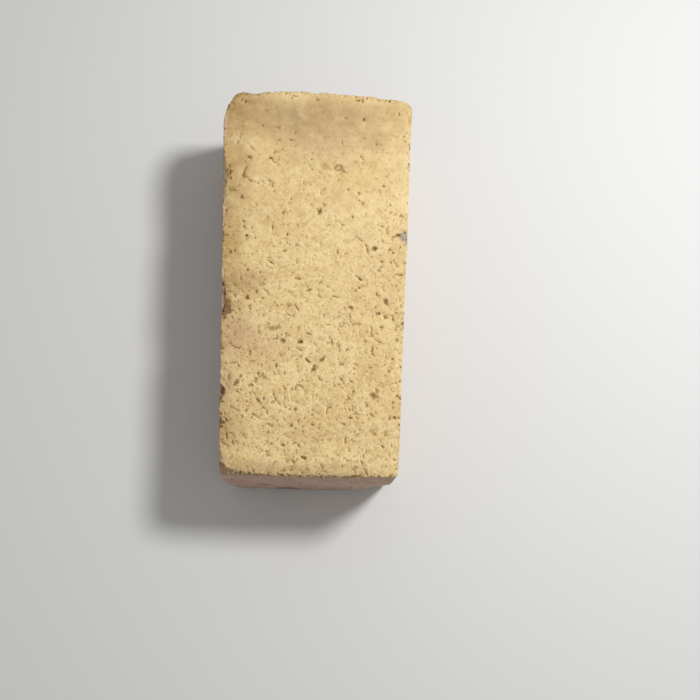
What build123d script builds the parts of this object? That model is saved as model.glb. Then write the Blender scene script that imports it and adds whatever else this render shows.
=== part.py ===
"""A fireclay brick, pressed in one piece, tapered in plan and worn at its corners.

Millimetres. The brick lies on its bed: X runs across it, Y along it towards the wide end, Z up.
The origin is in the middle of the lower bed.
"""

import os

from build123d import *

# Overall sizes
length = 232.0
wide_end = 114.0
narrow_end = 97.0
thickness = 65.0

# The pressed ends stand out: how far the corners of each end lie behind its crown
wide_end_bow = 4.0
narrow_end_bow = 0.8

# Upright corners, rounded by handling
wide_left_radius = 5.0
wide_right_radius = 6.0
narrow_left_radius = 9.0
narrow_right_radius = 3.0

# The left side is rubbed back where it meets the wide end
rub_along = 14.0
rub_depth = 2.4

# All the long edges of the two beds
arris_radius = 1.2

# Lower corner broken off at the right of the narrow end
lower_break_across = 20.0
lower_break_along = 5.0
lower_break_up = 34.0

# Upper corner rubbed off at the left of the narrow end
upper_break_across = 15.0
upper_break_along = 12.0
upper_break_down = 8.0

# Chips out of the upper left arris: distance from the narrow end, length and depth
long_chip_from_end = 100.0
long_chip_length = 26.0
long_chip_depth = 2.2
short_chip_from_end = 46.0
short_chip_length = 9.0
short_chip_depth = 2.4

# A long shallow rub of the same arris, nearer the wide end
worn_arris_from_end = 170.0
worn_arris_length = 42.0
worn_arris_depth = 1.5

# Dips in the crumbled upper arris of the wide end
left_dip_from_middle = 38.0
left_dip_length = 10.0
left_dip_depth = 1.5
middle_dip_from_middle = 2.0
middle_dip_length = 9.0
middle_dip_depth = 1.6

# The larger pores that stand open in the upper bed, with few and angular walls
pore_depth = 0.8
pore_flare = 30.0

# Round ones: place across, place along, width
round_pores = [
    (-27.5, 70.5, 2.5), (18, 52, 2.0), (-43, 45, 2.5), (-19.5, 36.5, 2.3), (-48, 11.5, 2.0),
    (25.5, -3, 1.8), (27.5, -24, 1.6), (41, -25.5, 1.8), (-44, -9, 1.5), (33.5, -44.5, 1.8),
    (-34, -48, 2.0), (44.5, -49, 2.0), (17.5, -53, 1.5), (1.5, -56, 2.5), (-41, -65, 2.2),
    (23.5, -68.5, 2.0), (48, -71, 2.2), (-25.5, -73.5, 1.5), (-8, -79, 1.7), (43, -83, 2.0),
    (18.5, -86, 1.8), (-46.5, -87, 2.0), (22.5, 110.5, 2.0), (-16, 110.5, 1.7), (26.5, 98, 1.5),
    (48.5, 102, 1.5), (-3.5, 70.5, 1.5), (21, 34.5, 1.8), (-16.5, 23.5, 1.7), (43.5, 8, 1.5),
    (43, -57, 1.8), (-15, -59, 1.4), (30.5, -76, 1.5), (-10.5, -87.5, 2.0),
]

# Long ones: place across, place along, length, width, turn from the right in degrees
long_pores = [
    (39, 55.5, 2.4, 1.8, 0), (2.5, 38, 3.5, 2.2, 90), (-39, 21.5, 2.5, 2.0, 90), (34.5, 16, 3.0, 2.5, 0),
    (-17.5, 13, 2.5, 1.5, 0), (38, 8.5, 3.0, 1.3, 135), (-26, 2.5, 4.5, 1.2, 150), (47.5, 0.5, 5.0, 1.3, 0),
    (36, -12, 3.5, 1.3, 125), (-37, -16, 3.5, 1.8, 150), (40.5, -16, 4.5, 2.3, 110),
    (-35.5, -22.5, 2.5, 1.3, 145), (38.5, -31, 2.3, 1.3, 0), (-16, -40.5, 3.5, 1.8, 150),
    (-7, -41, 3.2, 2.4, 160), (5.5, -50.5, 3.0, 2.0, 50),
]

narrow_y = narrow_end_bow - length / 2
wide_y = length / 2 - wide_end_bow


def side_at(y):
    """Half the width of the brick at a place along it."""
    share = (y - narrow_y) / (wide_y - narrow_y)
    return (narrow_end + (wide_end - narrow_end) * share) / 2


def corner_break(corner, across, along, up):
    """Break a corner off along the plane through one point on each of its three edges."""
    on_end = corner + Vector(across, 0, 0)
    on_side = corner + Vector(0, along, 0)
    on_upright = corner + Vector(0, 0, up)
    normal = (on_side - on_end).cross(on_upright - on_end)
    if normal.dot(corner - on_end) < 0:
        normal = -normal
    split(bisect_by=Plane(origin=on_end, z_dir=normal), keep=Keep.BOTTOM)


def chip(arris, outward, chip_length, depth):
    """Scoop a chip out of an arris."""
    scoop_radius = (chip_length**2 / 4 + depth**2) / (2 * depth)
    with Locations(arris + outward.normalized() * (scoop_radius - depth)):
        Sphere(scoop_radius, mode=Mode.SUBTRACT)


def left_arris_chip(from_end, chip_length, depth):
    """Scoop a chip out of the upper left arris."""
    chip_y = from_end - length / 2
    chip(Vector(-side_at(chip_y), chip_y, thickness), Vector(-1, 0, 1), chip_length, depth)


def wide_arris_dip(from_middle, dip_length, depth):
    """Scoop a dip out of the upper arris of the wide end, left of the middle."""
    setback = wide_end_bow * (2 * from_middle / wide_end) ** 2
    arris = Vector(-from_middle, length / 2 - setback, thickness)
    chip(arris, Vector(0, 1, 1), dip_length, depth)


rub_y = wide_y - rub_along
narrow_left = (-narrow_end / 2, narrow_y)
narrow_right = (narrow_end / 2, narrow_y)
wide_right = (wide_end / 2, wide_y)
wide_left = (rub_depth - wide_end / 2, wide_y)

with BuildPart() as brick:
    with BuildSketch() as plan:
        with BuildLine():
            ThreePointArc(narrow_left, (0, -length / 2), narrow_right)
            Line(narrow_right, wide_right)
            ThreePointArc(wide_right, (0, length / 2), wide_left)
            Polyline(wide_left, (-side_at(rub_y), rub_y), narrow_left)
        make_face()
        fillet(plan.vertices().sort_by_distance(wide_left)[0], wide_left_radius)
        fillet(plan.vertices().sort_by_distance(wide_right)[0], wide_right_radius)
        fillet(plan.vertices().sort_by_distance(narrow_left)[0], narrow_left_radius)
        fillet(plan.vertices().sort_by_distance(narrow_right)[0], narrow_right_radius)
    extrude(amount=thickness)
    beds = brick.faces().filter_by(Axis.Z)
    fillet(beds.edges(), arris_radius)
    corner_break(
        Vector(*narrow_right, 0), -lower_break_across, lower_break_along, lower_break_up
    )
    corner_break(
        Vector(*narrow_left, thickness), upper_break_across, upper_break_along, -upper_break_down
    )
    left_arris_chip(long_chip_from_end, long_chip_length, long_chip_depth)
    left_arris_chip(short_chip_from_end, short_chip_length, short_chip_depth)
    left_arris_chip(worn_arris_from_end, worn_arris_length, worn_arris_depth)
    wide_arris_dip(left_dip_from_middle, left_dip_length, left_dip_depth)
    wide_arris_dip(middle_dip_from_middle, middle_dip_length, middle_dip_depth)
    with BuildSketch(Plane.XY.offset(thickness)) as pores:
        for x, y, width in round_pores:
            with Locations((x, y)):
                RegularPolygon(width / 2, side_count=6)
        for x, y, pore_length, width, turn in long_pores:
            end, side = pore_length / 2, width / 2
            outline = [
                (-end, 0), (-end / 2, -side), (end / 2, -side),
                (end, 0), (end / 2, side), (-end / 2, side),
            ]
            with Locations((x, y)):
                Polygon(*outline, rotation=turn)
    extrude(amount=-pore_depth, taper=pore_flare, mode=Mode.SUBTRACT)

brick.part.label = "brick"

os.makedirs("parts", exist_ok=True)
export_step(brick.part, "parts/brick.step")
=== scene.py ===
"""The finish of a worn fireclay brick: its form, chips, pores, cracks and stains, in a plain studio."""
import math
import random
from functools import partial

import bmesh
import bpy
import numpy as np
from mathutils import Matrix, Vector, kdtree, noise


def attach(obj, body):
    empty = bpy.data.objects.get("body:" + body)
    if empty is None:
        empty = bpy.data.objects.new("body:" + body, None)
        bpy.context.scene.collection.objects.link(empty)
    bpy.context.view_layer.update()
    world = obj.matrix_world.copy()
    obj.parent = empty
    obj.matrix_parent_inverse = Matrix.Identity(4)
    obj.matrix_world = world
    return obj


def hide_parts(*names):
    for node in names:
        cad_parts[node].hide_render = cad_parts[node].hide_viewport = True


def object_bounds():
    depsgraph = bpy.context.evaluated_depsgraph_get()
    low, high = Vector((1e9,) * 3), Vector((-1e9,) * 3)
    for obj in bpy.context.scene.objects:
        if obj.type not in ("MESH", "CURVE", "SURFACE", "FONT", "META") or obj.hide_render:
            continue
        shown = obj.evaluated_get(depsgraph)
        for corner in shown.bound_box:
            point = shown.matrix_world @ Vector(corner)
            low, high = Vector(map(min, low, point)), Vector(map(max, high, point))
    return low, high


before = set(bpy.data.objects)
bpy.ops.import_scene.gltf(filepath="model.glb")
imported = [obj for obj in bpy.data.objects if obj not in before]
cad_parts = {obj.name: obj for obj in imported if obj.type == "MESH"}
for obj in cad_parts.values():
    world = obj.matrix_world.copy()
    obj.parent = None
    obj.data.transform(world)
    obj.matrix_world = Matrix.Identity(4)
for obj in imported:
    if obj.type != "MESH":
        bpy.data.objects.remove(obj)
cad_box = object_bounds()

MM = 0.001

# Two places nearer to each other than this count as one
NEAR = 0.0001 * MM

# The pressed block, as in the part's source
LENGTH = 232 * MM
WIDE_END = 114 * MM
NARROW_END = 97 * MM
THICKNESS = 65 * MM

# How far the bowed ends lie behind their crown, from left to right: place across, setback
WIDE_END_BOW = [
    (-57, 4.0), (-47, 1.9), (-38, 2.0), (-30, 1.1), (-20, 0.3), (-11, 0.0),
    (-1, 0.2), (10, 0.6), (20, 1.1), (30, 1.8), (40, 2.8), (48, 3.4), (57, 4.0),
]
NARROW_END_BOW = [(-48.5, 0.8), (-35, 0.5), (-20, 0.2), (0, 0.0), (20, 0.2), (35, 0.5), (48.5, 0.8)]

# Upright corners: side, end, radius
UPRIGHT_CORNERS = [(-1, 1, 5.0), (1, 1, 6.0), (-1, -1, 2.5), (1, -1, 3.0)]

# Corners broken off flat: side, end, level, then how far the break reaches across, along and up
BROKEN_CORNERS = [
    (-1, 1, 1, 4.2, 22.0, math.inf),
    (-1, 1, 1, 6.4, 13.0, math.inf),
    (-1, 1, 1, 6.5, 6.2, math.inf),
    (1, -1, -1, 20.0, 5.0, 34.0),
    (1, -1, -1, 30.0, 9.0, 12.0),
    (-1, -1, 1, 18.0, 4.5, 5.0),
    (-1, -1, 1, 8.0, 8.0, 8.0),
    (-1, 1, 1, 11.0, 9.0, 5.0),
    (1, 1, 1, 9.0, 9.0, 4.0),
    (-1, -1, -1, 14.0, 8.0, 8.0),
    (-1, -1, -1, 6.5, 6.0, 35.0),
]

# Chips scooped out of the long arrises: side, level, place along, length, depth
SIDE_CHIPS = [
    (-1, 1, -16.0, 26.0, 2.2),
    (-1, 1, -70.0, 9.0, 2.4),
    (-1, 1, 54.0, 42.0, 2.0),
    (-1, 1, -87.0, 10.0, 1.3),
    (-1, 1, 20.0, 9.0, 1.2),
    (1, 1, 24.0, 7.0, 1.3),
    (1, 1, 72.0, 5.0, 1.3),
    (1, 1, -91.0, 12.0, 1.2),
]

# Chips scooped out of the short arrises: end, level, place across, length, depth
END_CHIPS = [
    (1, 1, -38.0, 12.0, 1.9),
    (1, 1, -2.0, 9.0, 1.6),
    (1, 1, 13.0, 6.0, 1.1),
    (1, 1, 37.0, 8.0, 1.2),
    (1, 1, 50.0, 7.0, 1.6),
    (-1, 1, -14.0, 8.0, 0.9),
    (-1, 1, 24.0, 7.0, 1.0),
    (-1, 1, -33.0, 9.0, 1.1),
    (-1, 1, 5.0, 6.0, 0.8),
    (-1, -1, -28.0, 8.0, 1.3),
    (-1, -1, -14.0, 11.0, 1.2),
]

# Places on the upper bed were read off a flat view of it that came out a little larger than the brick
READ_SCALE = 0.993
READ_ALONG = -0.95

# The larger pores of the upper bed: place across and along, how wide
ROUND_PORES = [
    (-15.9, 112.3, 1.7), (22.8, 112.0, 2.0), (26.5, 99.3, 1.5),
    (48.8, 103.5, 1.5), (-20.3, 77.5, 1.5), (-27.8, 72.0, 2.5), (-3.5, 71.8, 1.5),
    (53.8, 78.5, 1.2), (2.0, 63.5, 1.5), (18.3, 53.3, 2.0), (25.0, 51.4, 2.0),
    (-43.7, 46.4, 1.9), (-19.8, 37.8, 2.3), (21.3, 35.8, 1.8), (49.0, 37.5, 1.5),
    (-37.1, 27.6, 1.5), (-46.8, 22.8, 1.5), (-16.5, 24.4, 1.7), (49.5, 18.3, 1.5),
    (-45.8, 13.3, 1.8), (-48.3, 12.5, 2.0), (43.8, 8.9, 1.5), (-44.4, -8.0, 1.5),
    (-44.8, -23.0, 1.5), (25.8, -2.1, 1.8), (25.6, -7.4, 1.8), (35.5, -18.1, 1.5),
    (27.8, -23.0, 1.6), (41.0, -24.4, 1.8), (44.9, -25.6, 1.7), (-30.5, -35.3, 1.3),
    (-28.9, -48.0, 1.5), (-34.3, -47.3, 2.0), (33.5, -44.0, 1.8), (47.4, -37.8, 1.5),
    (19.2, -44.3, 1.3), (44.9, -48.5, 2.0), (7.6, -47.9, 1.5), (17.5, -52.5, 1.5),
    (24.5, -52.4, 1.5), (1.3, -55.5, 2.5), (43.1, -56.4, 1.8), (-14.9, -58.4, 1.4),
    (46.9, -62.3, 1.5), (-41.1, -64.6, 2.2), (-33.5, -65.9, 2.0), (23.5, -67.8, 2.0),
    (48.4, -70.3, 2.2), (45.8, -74.4, 1.7), (-25.8, -73.1, 1.5), (30.8, -75.8, 1.5),
    (-11.5, -78.0, 1.5), (-7.8, -78.6, 1.7), (43.4, -82.5, 2.0), (-46.8, -86.5, 2.0),
    (-6.8, -85.1, 1.5), (-10.5, -87.3, 2.0), (18.5, -85.9, 1.8), (27.2, -88.9, 1.3),
    (-52.0, 37.5, 1.6), (-52.0, 28.8, 1.6), (-51.3, 22.3, 1.6), (-42.3, 69.0, 1.3),
    (-50.3, 57.8, 1.8), (-25.0, 76.5, 1.7), (-34.0, 55.5, 1.4), (-25.0, 50.7, 1.4),
    (-49.8, -12.8, 1.5), (-51.3, -7.5, 1.4), (-31.0, 1.0, 1.6), (-28.3, -4.0, 1.2),
    (-47.0, -1.6, 1.2), (-33.0, -17.3, 1.2), (-28.3, -24.8, 1.4), (-47.7, -19.6, 1.0),
    (-38.5, -69.0, 1.3), (-34.0, -70.2, 1.3), (-26.0, -73.0, 1.6), (-30.0, -54.2, 1.2),
    (-44.0, -53.0, 1.3), (-35.0, -80.5, 1.6), (-32.0, -83.5, 1.5), (-26.5, -82.5, 1.3),
    (50.0, 38.0, 1.8), (43.5, 9.0, 1.4), (46.3, 10.2, 1.3), (32.0, 3.0, 1.2), (36.8, 3.0, 1.4),
    (34.3, 6.0, 1.3), (37.5, 5.2, 1.4), (27.0, 45.0, 1.5), (48.8, 104.0, 1.3),
    (51.5, 89.5, 1.6), (26.5, 99.5, 2.2),
    (-49.8, -45.0, 1.8), (-49.3, -75.0, 2.2), (-48.8, -83.0, 1.8), (-49.0, -89.0, 2.0),
]

# The longer ones: place across and along, length, width, turn from the right in degrees
LONG_PORES = [
    (-43.9, 108.6, 2.6, 1.5, 90), (-46.4, 109.6, 2.0, 1.2, 90), (-51.3, 66.0, 2.6, 1.2, 90),
    (-51.0, 62.0, 3.2, 2.0, 90), (-27.5, 55.5, 2.6, 1.0, 90),
    (-34.5, 74.0, 2.2, 1.1, 10), (-27.5, 57.6, 2.2, 1.1, 160), (-35.0, -2.3, 2.2, 1.1, 150),
    (-41.7, -4.0, 2.8, 1.0, 100), (-47.0, -20.5, 3.0, 0.9, 135), (-45.0, -22.8, 2.0, 1.1, 110),
    (-41.5, -22.8, 1.8, 1.0, 110), (47.6, 25.7, 3.2, 1.7, 10), (45.0, 24.7, 2.4, 0.8, 20),
    (49.5, 18.5, 1.8, 1.2, 0), (33.0, 25.6, 2.2, 0.9, 60), (49.0, 1.2, 4.5, 1.2, 170),
    (-42.5, -66.0, 2.0, 1.2, 20), (-38.5, -68.0, 2.6, 0.9, 110), (-29.3, -73.8, 3.0, 1.0, 130),
    (26.5, 112.5, 4.0, 1.0, 90), (-33.0, 93.0, 2.0, 1.2, 90), (35.0, 83.5, 2.0, 1.3, 90),
    (-40.0, 72.0, 3.0, 1.7, 0), (54.3, 71.5, 2.0, 1.2, 90), (39.3, 56.6, 2.3, 1.8, 0),
    (37.3, 52.3, 2.0, 1.0, 120), (43.5, 44.8, 2.0, 1.2, 90), (-2.5, 43.0, 2.5, 1.0, 120),
    (43.5, 39.6, 2.2, 1.3, 120), (2.3, 39.0, 3.5, 2.2, 90), (-27.8, 34.0, 3.0, 1.0, 120),
    (-41.0, 27.8, 2.5, 1.0, 120), (-39.5, 22.5, 2.5, 2.0, 90), (38.8, 22.3, 3.0, 1.0, 120),
    (-34.5, 21.3, 2.5, 1.0, 120), (34.5, 17.0, 3.0, 2.5, 0), (45.0, 14.5, 2.0, 1.5, 90),
    (-17.5, 13.8, 2.5, 1.5, 0), (38.3, 9.3, 3.0, 1.3, 135), (-26.0, 3.5, 4.5, 1.0, 150),
    (-38.0, 1.5, 2.0, 1.5, 90), (48.0, 1.5, 5.0, 1.2, 0), (36.0, -11.0, 3.5, 1.3, 125),
    (-32.5, -11.5, 2.2, 1.7, 0), (49.1, -12.8, 2.5, 1.0, 90), (-37.3, -15.3, 3.5, 1.8, 150),
    (41.0, -15.3, 4.5, 2.3, 110), (-20.5, -19.3, 2.5, 1.0, 125), (-35.5, -21.6, 2.5, 1.2, 145),
    (36.8, -22.3, 3.0, 2.0, 0), (-24.6, -22.8, 1.7, 1.0, 0), (45.0, -23.5, 2.0, 1.2, 0),
    (38.8, -30.4, 2.2, 1.3, 0), (-16.3, -39.8, 3.5, 1.8, 150), (-6.8, -40.1, 3.2, 2.4, 160),
    (-6.3, -45.1, 2.2, 1.0, 150), (5.5, -50.0, 3.0, 2.0, 50), (35.5, -61.8, 3.5, 0.8, 140),
    (21.0, -77.5, 1.6, 1.0, 100), (23.0, -78.0, 2.0, 1.2, 60), (24.5, -76.8, 1.8, 1.0, 120),
    (46.3, -82.0, 2.5, 2.0, 0), (-37.3, -83.0, 1.7, 1.2, 120), (14.4, -84.0, 2.0, 1.0, 120),
    (21.5, -85.0, 2.5, 0.8, 90), (-10.0, -112.0, 2.5, 1.0, 120), (-10.0, -115.0, 2.0, 1.0, 120),
    (-3.5, -113.5, 2.0, 1.0, 120), (-21.8, -114.3, 2.0, 1.0, 120), (10.5, -114.8, 2.2, 1.0, 120),
]

# Hairline cracks of the upper bed: width, then the places across and along that each runs through
CRACKS = [
    (0.9, [(-41.2, 65.8), (-42.1, 64.0), (-42.5, 62.2), (-43.1, 60.6)]),
    (1.1, [(-43.9, 60.4), (-42.6, 59.8), (-41.2, 59.1), (-40.2, 58.0)]),
    (0.8, [(-40.2, 58.0), (-38.9, 56.9), (-37.6, 56.5), (-36.2, 56.3)]),
    (0.3, [(-44.6, 58.2), (-45.3, 56.6), (-45.0, 54.8), (-45.9, 52.6)]),
    (0.5, [(-51.6, 50.6), (-50.4, 51.4), (-49.2, 50.7)]),
    (0.4, [(-48.3, 51.5), (-47.4, 50.1)]),
    (0.3, [(-45.7, 87.4), (-46.2, 85.2), (-45.8, 83.6)]),
    (0.3, [(-47.0, 82.4), (-47.5, 80.0)]),
    (0.4, [(-26.5, 72), (-26.2, 70), (-24.8, 69)]),
    (0.5, [(-49, -14.5), (-47.4, -17.5), (-45.6, -20)]),
    (0.4, [(-48.2, -20.5), (-46.8, -23.5)]),
    (0.5, [(-31.5, -5.5), (-30, -7.5), (-28.2, -8.4)]),
    (0.4, [(-29.5, -5.5), (-28, -7)]),
    (0.5, [(-47.5, -83.5), (-44.5, -86.5)]),
    (0.5, [(-45.5, -83), (-43, -85.5)]),
    (0.4, [(-38, -83), (-34, -86)]),
    (0.4, [(-31.5, -61), (-29.5, -65)]),
    (0.6, [(22.8, 24.3), (28, 21), (29.3, 19), (30, 17), (31, 13)]),
    (0.5, [(41, 30), (42, 26)]),
    (0.6, [(-28.5, -9.5), (-25.5, -12)]),
    (0.8, [(-10.5, -18.5), (-9.2, -20.3), (-7.6, -22.6)]),
    (0.5, [(5.3, -23.5), (6.5, -26.3)]),
    (0.5, [(20.3, -23), (21.3, -27.8), (22, -28.8), (27, -28.9)]),
    (0.6, [(33.3, -30.5), (32.8, -34), (34.5, -37), (36.8, -38.4), (38.5, -39.5)]),
    (0.3, [(-30, -39), (-24, -39.4), (-18, -38.5)]),
    (0.6, [(13.5, -40.8), (15, -42.5), (15.3, -45)]),
    (0.5, [(33.3, -45.8), (36, -48)]),
    (0.6, [(-30.5, -63.3), (-29.3, -65.5)]),
    (0.6, [(-29.8, -72.8), (-27.8, -75.5)]),
    (0.6, [(-20, -72.5), (-16.5, -76.5)]),
    (0.5, [(24, -80), (27, -80.8)]),
    (0.5, [(32, -80), (35, -81.8)]),
]

# Marks on the upper bed and its arrises: place across and along, half width, half length, strength
MARKS = {
    # Greyish smears towards the wide end are stains; the two along the narrow end's arris are partly painted
    # shade
    "smear": [
        (-6, 98, 31, 16, 0.76), (24, 104, 20, 10, 0.5), (34, 86, 13, 9, 0.46), (-26, 102, 14, 10, 0.5),
        (16, 92, 28, 13, 0.3), (2, 108, 14, 6, 0.3), (-2, -113, 50, 5, 0.55), (-34, -112, 16, 6, 0.4),
        (-4, 75, 30, 10, 0.26), (-22, 90, 13, 8, 0.34), (17, 71, 9, 6, 0.2),
    ],
    # Darker clay along the left side, partly painted shade where the light falls off, with a faint band of
    # painted shade across the narrow end
    "margin": [
        (-59, 10, 17, 150, 0.72), (-47, 110, 18, 15, 0.9), (-42, 96, 16, 12, 0.6), (-43, 69, 8, 9, 0.45),
        (-48, 49, 9, 9, 0.4), (-39, -4, 12, 8, 0.6), (-46, -16, 8, 10, 0.25), (-50, -89, 14, 16, 0.5),
        (-30, 35, 12, 9, 0.2), (0, -92, 60, 9, 0.12), (26, -15, 3, 3, 0.3), (-37, -7, 5, 4, 0.3),
        (50, 94, 8, 26, 0.22), (4.8, 67.8, 2.3, 2.6, 1.0), (44, 104, 12, 12, 0.25),
        (-39, -35, 5, 4, 0.3), (-41, 57, 6, 6, 0.2), (30, 26, 8, 7, 0.15),
    ],
    "ochre": [
        (-49, 22, 8, 14, 0.55), (42, -17, 7, 7, 0.25), (49, -28, 5, 11, 0.2), (-50, 62, 5, 14, 0.4),
        (-52, 106, 7, 8, 0.35), (-50, -76, 6, 14, 0.3), (4.8, 67.8, 2.4, 2.7, 0.6),
    ],
    "blush": [
        (-42, -36, 11, 13, 0.55), (-24, -43, 15, 10, 0.26), (-54, 92, 2.4, 9, 0.5),
        (-46, -64, 7, 12, 0.4), (8, 84, 26, 8, 0.3), (-47.5, -111, 4.5, 7, 0.85),
        (-37, -115, 10, 1.8, 0.7),
    ],
    # Paler clay and pale grains; the broad patches towards the right side are partly painted light, lighter
    # where the lamp falls nearer
    "pale": [
        (-14, 113, 9, 3.5, 0.3), (52, 62, 9, 30, 0.3), (22, 16, 24, 36, 0.2), (8, -38, 14, 16, 0.14),
        (52, -52, 5, 16, 0.3), (30, 112, 9, 3, 0.3), (-43.5, -15.5, 2.2, 2.4, 0.7),
        (-35.5, 58.0, 1.4, 2.4, 0.7), (-36.0, -17.5, 1.6, 2.4, 0.4),
    ],
    "brown": [
        (12.8, 67.3, 3.4, 3.0, 1.0), (16.2, 64.8, 2.2, 1.2, 0.9),
        (34.8, -69.7, 2.8, 3.0, 1.0), (-23.0, -33.0, 2.4, 2.1, 0.85), (-19.5, -32.0, 2.6, 1.9, 0.8),
        (-13.5, -19.0, 2.2, 1.9, 0.9), (48.3, 25.5, 2.4, 1.7, 0.9), (45.0, 24.5, 1.8, 0.9, 0.7),
        (1.3, -55.5, 1.6, 1.6, 0.8), (-41.1, -64.6, 1.7, 1.4, 0.8), (25.3, -109.8, 1.7, 1.2, 0.7),
        (36.0, -113.3, 1.7, 1.2, 0.7), (-6.8, -40.1, 2.2, 1.8, 0.8), (-16.3, -39.8, 2.4, 1.5, 0.7),
        (34.5, 17.0, 2.1, 1.8, 0.8), (2.3, 39.0, 1.7, 2.4, 0.7), (5.5, -50.0, 2.2, 1.6, 0.7),
        (-37.3, -15.3, 2.5, 1.5, 0.7), (41.0, -15.3, 1.8, 2.8, 0.5), (-42.6, 59.6, 1.8, 3.0, 0.7),
        (-40.0, 72.4, 2.4, 1.4, 0.6), (-31.0, 103.3, 3.0, 1.5, 0.6), (-43.9, 108.6, 1.2, 1.6, 0.8),
        (-51.0, 103.2, 1.6, 1.4, 0.7), (-48.2, 104.4, 1.4, 1.2, 0.6), (-51.6, 62.4, 1.6, 3.2, 1.0),
        (-51.4, 66.2, 1.2, 1.8, 0.7), (-50.8, 58.4, 1.3, 2.2, 1.0), (-50.5, 77.5, 2.0, 1.2, 0.5),
        (-42.2, 62.2, 0.9, 3.2, 0.7), (-49.0, 50.2, 4.0, 1.0, 0.7), (-28.5, 72.0, 2.2, 1.8, 0.5),
        (-50.0, -5.5, 2.4, 1.2, 0.6), (-44.5, -8.2, 1.4, 1.4, 0.6), (-38.0, 1.6, 1.0, 2.0, 0.6),
        (-41.2, -64.6, 1.8, 1.6, 0.6), (22.8, 112.0, 2.6, 1.4, 0.6), (26.4, 112.0, 1.4, 2.2, 0.6),
        (35.0, 113.0, 1.8, 1.4, 0.5), (49.5, 95.5, 2.4, 1.4, 0.5), (40.5, 34.5, 2.4, 2.4, 0.45),
    ],
    "core": [(12.6, 66.9, 1.6, 1.4, 1.0)],
    "scorch": [
        (-49.4, -23.6, 2.8, 3.8, 1.0), (-48.4, -17.5, 1.9, 3.2, 0.8), (-48.2, -69.0, 2.0, 3.2, 0.9),
        (-49.4, -73.6, 1.4, 2.0, 0.9), (-48.8, -86.5, 2.0, 5.0, 0.6), (-50.4, -12.5, 1.2, 2.6, 0.7),
        (-52.8, 30.0, 1.5, 14.0, 0.5), (-49.0, -60.0, 1.0, 2.0, 0.5), (-50.0, -53.0, 0.9, 3.0, 0.5),
        (-51.4, -7.2, 0.9, 1.8, 0.8), (-46.6, -22.8, 1.4, 2.0, 0.6), (-48.4, 52.5, 1.6, 1.2, 0.5),
        (-53.5, 84.0, 1.2, 7.0, 0.4), (34.8, -69.9, 1.8, 2.2, 0.9), (48.0, 25.3, 1.8, 1.2, 0.5),
        (-47.2, -20.5, 2.4, 4.0, 0.45), (-49.6, -28.0, 1.6, 1.6, 0.6),
        (12.8, 67.3, 3.2, 2.8, 0.42), (16.0, 64.9, 2.0, 1.2, 0.5),
    ],
    # Painted light: a pale pinkish rim along the left arris, which the lamp leaves in shade
    "fresh": [
        (-52.4, -2.0, 0.9, 10.0, 0.8), (-51.6, -18.0, 0.8, 9.0, 0.8), (-53.6, 54.0, 0.9, 16.0, 0.7),
        (-55.2, 92.0, 0.8, 10.0, 0.4), (-50.0, -60.0, 0.8, 14.0, 0.7), (-49.8, -80.0, 0.8, 8.0, 0.5),
        (-53.0, 30.0, 0.8, 12.0, 0.5), (-48.4, -25.2, 0.8, 0.8, 0.8),
    ],
    "steel_grey": [(50.7, 24.8, 2.4, 3.4, 1.0), (52.8, 23.6, 1.8, 4.2, 0.9)],
    "soot": [
        (52.4, 27.2, 1.6, 1.1, 0.8), (53.2, 23.2, 1.3, 1.2, 0.8), (50.6, 22.0, 1.5, 0.8, 0.7),
        (52.2, 19.6, 1.8, 0.8, 0.7), (49.2, 25.8, 1.0, 1.4, 0.6),
    ],
}

# Marks on the narrow end: place across and up, half width, half height, strength
END_MARKS = {
    # Dark smudges low on the narrow end, near its lower arris
    "soot": [(-25, 24, 6, 5, 0.8), (-12, 6, 9, 7, 0.95), (-13, 22, 5, 3, 0.5)],
    "scorch": [(25, 19, 2, 4, 0.7), (33, 33, 2, 12, 0.4)],
}

# Fineness of the clay's mesh before it is thinned, and the triangles kept
FINE_GRID = 0.36 * MM
GRID = FINE_GRID
TRIANGLES = 190_000

# How much dearer a vertex in a pore is than one on the plain face when the mesh is thinned
PORE_CARE = 0.000004

# How far inside a corner's line a place may lie and still belong to it
CORNER_SLACK = 0.02 * MM

# How many flats stand for the round of an upright corner, and how often a chip's ball is divided
CORNER_FLATS = 6
BALL_DIVISIONS = 5


def only(piece):
    """Select one object alone and make it active."""
    bpy.ops.object.select_all(action="DESELECT")
    piece.select_set(True)
    bpy.context.view_layer.objects.active = piece


def pick(piece, kind, test):
    """In edit mode, select the edges or faces whose corners pass a test."""
    bpy.ops.mesh.select_mode(type=kind)
    bpy.ops.mesh.select_all(action="DESELECT")
    shape = bmesh.from_edit_mesh(piece.data)
    for part in shape.edges if kind == "EDGE" else shape.faces:
        part.select_set(test([corner.co for corner in part.verts]))
    shape.select_flush_mode()
    bmesh.update_edit_mesh(piece.data)


def apply_modifier(piece, kind, **settings):
    """Add a modifier and apply it."""
    only(piece)
    modifier = piece.modifiers.new(kind.lower(), kind)
    for name, value in settings.items():
        setattr(modifier, name, value)
    bpy.ops.object.modifier_apply(modifier=modifier.name)


def half_width(y):
    """Half the brick's width at a place along it, before wear."""
    share = y / LENGTH + 0.5
    return (NARROW_END + (WIDE_END - NARROW_END) * share) / 2


def end_at(x, end):
    """How far along an end lies at a place across the brick."""
    bow = WIDE_END_BOW if end > 0 else NARROW_END_BOW
    setback = np.interp(x / MM, [place for place, back in bow], [back for place, back in bow])
    return end * (LENGTH / 2 - float(setback) * MM)


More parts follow.
